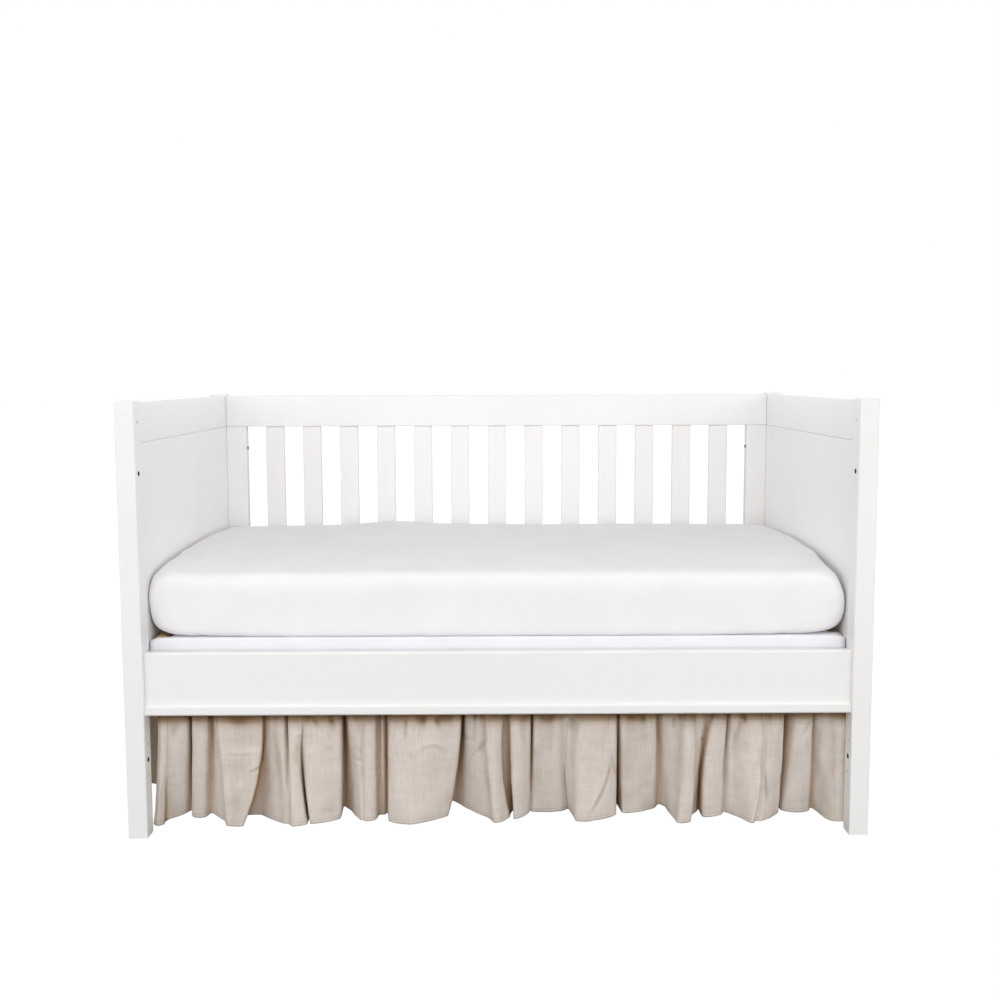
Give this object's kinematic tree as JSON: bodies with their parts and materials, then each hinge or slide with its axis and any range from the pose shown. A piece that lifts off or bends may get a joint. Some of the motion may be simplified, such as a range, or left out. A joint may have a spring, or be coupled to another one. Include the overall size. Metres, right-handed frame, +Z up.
{
  "type": "bed skirt on a cot bed",
  "caption": "Gathered linen bed skirt whose white deck lies under a cot bed's mattress, its ruffles hanging round the base to hide the space beneath.",
  "frame": {"origin": "on the floor under the middle of the cot's outer box", "axes": "+X along the bed towards its right end as seen from the front, +Y from the open front to the slatted back, +Z up"},
  "size_m": [1.5, 0.79, 0.884],
  "materials": {
    "white_paint": "smooth satin paint on solid wood and board",
    "birch": "bare planed birch",
    "steel": "zinc-plated steel",
    "cotton_sheet": "soft white cotton jersey",
    "cotton_deck": "plain white woven cotton",
    "linen": "natural slubbed linen weave"
  },
  "bodies": {
    "root": {"post_front_left": "white_paint", "post_front_right": "white_paint", "post_back_left": "white_paint", "post_back_right": "white_paint", "end_rail_left": "white_paint", "end_rail_right": "white_paint", "end_panel_left": "white_paint", "end_panel_right": "white_paint", "back_top_rail": "white_paint", "back_bottom_rail": "white_paint", "back_stile_left": "white_paint", "back_stile_right": "white_paint", "back_slat_01": "white_paint", "back_slat_02": "white_paint", "back_slat_03": "white_paint", "back_slat_04": "white_paint", "back_slat_05": "white_paint", "back_slat_06": "white_paint", "back_slat_07": "white_paint", "back_slat_08": "white_paint", "back_slat_09": "white_paint", "back_slat_10": "white_paint", "back_slat_11": "white_paint", "back_slat_12": "white_paint", "back_slat_13": "white_paint", "front_rail": "white_paint", "base_rail_front": "birch", "base_rail_back": "birch", "base_end_left": "birch", "base_end_right": "birch", "base_slat_01": "birch", "base_slat_02": "birch", "base_slat_03": "birch", "base_slat_04": "birch", "base_slat_05": "birch", "base_slat_06": "birch", "base_slat_07": "birch", "base_slat_08": "birch", "base_slat_09": "birch", "base_bracket_front_left": "steel", "base_bracket_front_right": "steel", "base_bracket_back_left": "steel", "base_bracket_back_right": "steel", "mattress": "cotton_sheet", "skirt_deck": "cotton_deck", "skirt_front": "linen", "skirt_back": "linen", "skirt_left": "linen", "skirt_right": "linen"}
  },
  "joints": []
}
